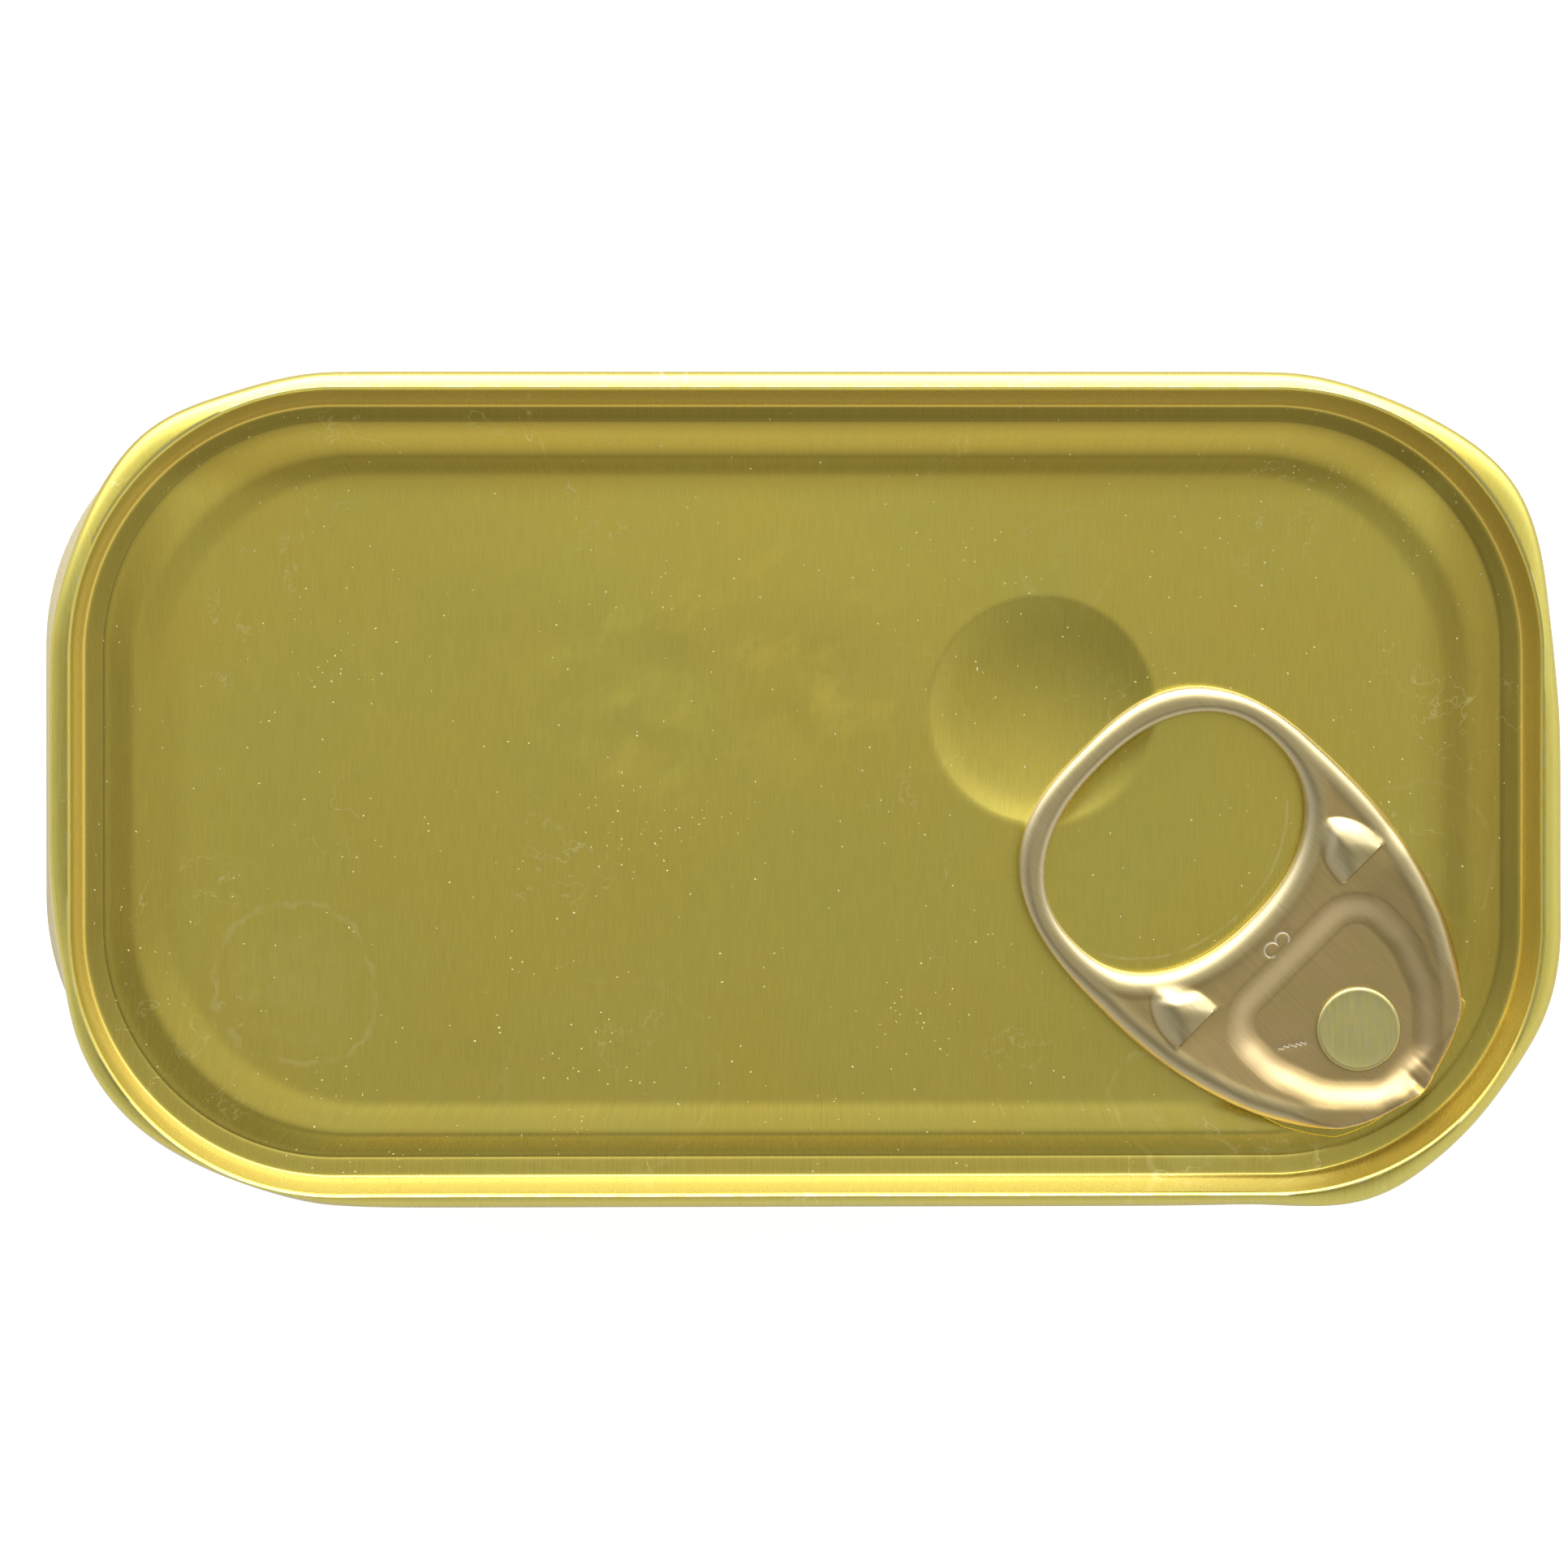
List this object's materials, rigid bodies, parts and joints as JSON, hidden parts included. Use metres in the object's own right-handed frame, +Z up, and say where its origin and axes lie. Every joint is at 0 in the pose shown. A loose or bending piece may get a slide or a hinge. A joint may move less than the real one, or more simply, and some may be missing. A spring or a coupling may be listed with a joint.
{
  "type": "tin of luncheon meat",
  "caption": "Shut rectangular food tin with rounded corners, gold-lacquered body, seamed easy-open lid and a ring pull riveted at one corner.",
  "frame": {"origin": "centre of the bottom of the tin's bounding box, on the face that it stands on", "axes": "+X along the tin's length, towards the end with the rivet; +Y across its width, away from the rivet's corner; +Z up through the lid"},
  "size_m": [0.0984, 0.0543, 0.0826],
  "materials": {
    "body_lacquer": "gold lacquer on brushed sheet metal, satin",
    "lid_lacquer": "clear gold lacquer on rolled aluminium, satin",
    "pull_metal": "pale champagne coating on rolled aluminium, satin"
  },
  "bodies": {
    "root": {"can_body": "body_lacquer", "lid": "lid_lacquer", "ring_pull": "pull_metal"}
  },
  "joints": []
}
